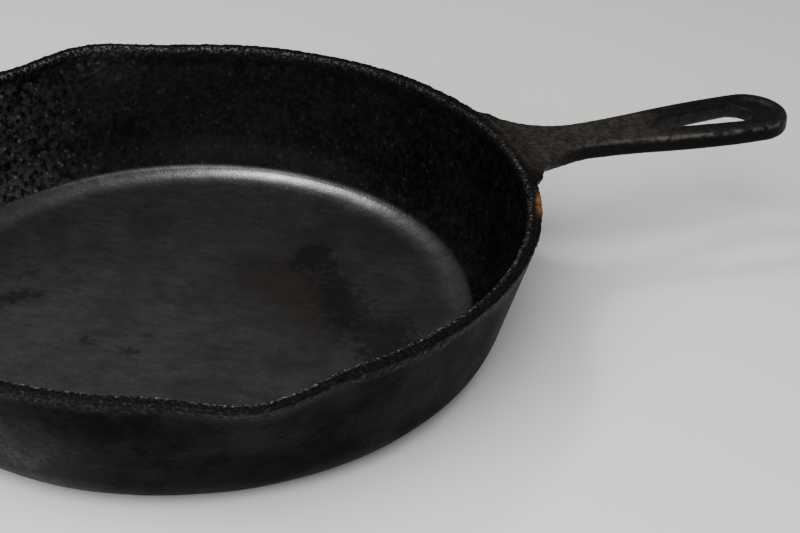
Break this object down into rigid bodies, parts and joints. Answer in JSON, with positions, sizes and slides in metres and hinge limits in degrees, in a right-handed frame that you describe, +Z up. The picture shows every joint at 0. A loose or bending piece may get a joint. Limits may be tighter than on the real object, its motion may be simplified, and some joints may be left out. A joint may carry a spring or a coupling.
{
  "type": "cast iron skillet",
  "caption": "Round cast iron skillet with a flat base, flared wall, two pour spouts and a flat tapered handle with a tapered hanging hole.",
  "frame": {"origin": "centre of the pan's flat base, on the plane that it rests on", "axes": "+X from the pan's centre along the handle, +Z up out of the pan's mouth, +Y to the left pour spout when looking along the handle"},
  "size_m": [0.385, 0.2796, 0.055],
  "materials": {
    "cooking_surface": "seasoned, smooth satin black",
    "pan_skin": "seasoned, fine grained dark grey",
    "rim_skin": "crusted, rough dark grey",
    "handle_skin": "sand cast texture, satin dark grey"
  },
  "bodies": {
    "root": {"cooking_floor": "cooking_surface", "base_corner": "pan_skin", "side_wall": "pan_skin", "rim": "rim_skin", "pour_spout_left": "rim_skin", "pour_spout_right": "rim_skin", "handle_root": "handle_skin", "handle_shank": "handle_skin", "hanging_loop": "handle_skin"}
  },
  "joints": []
}
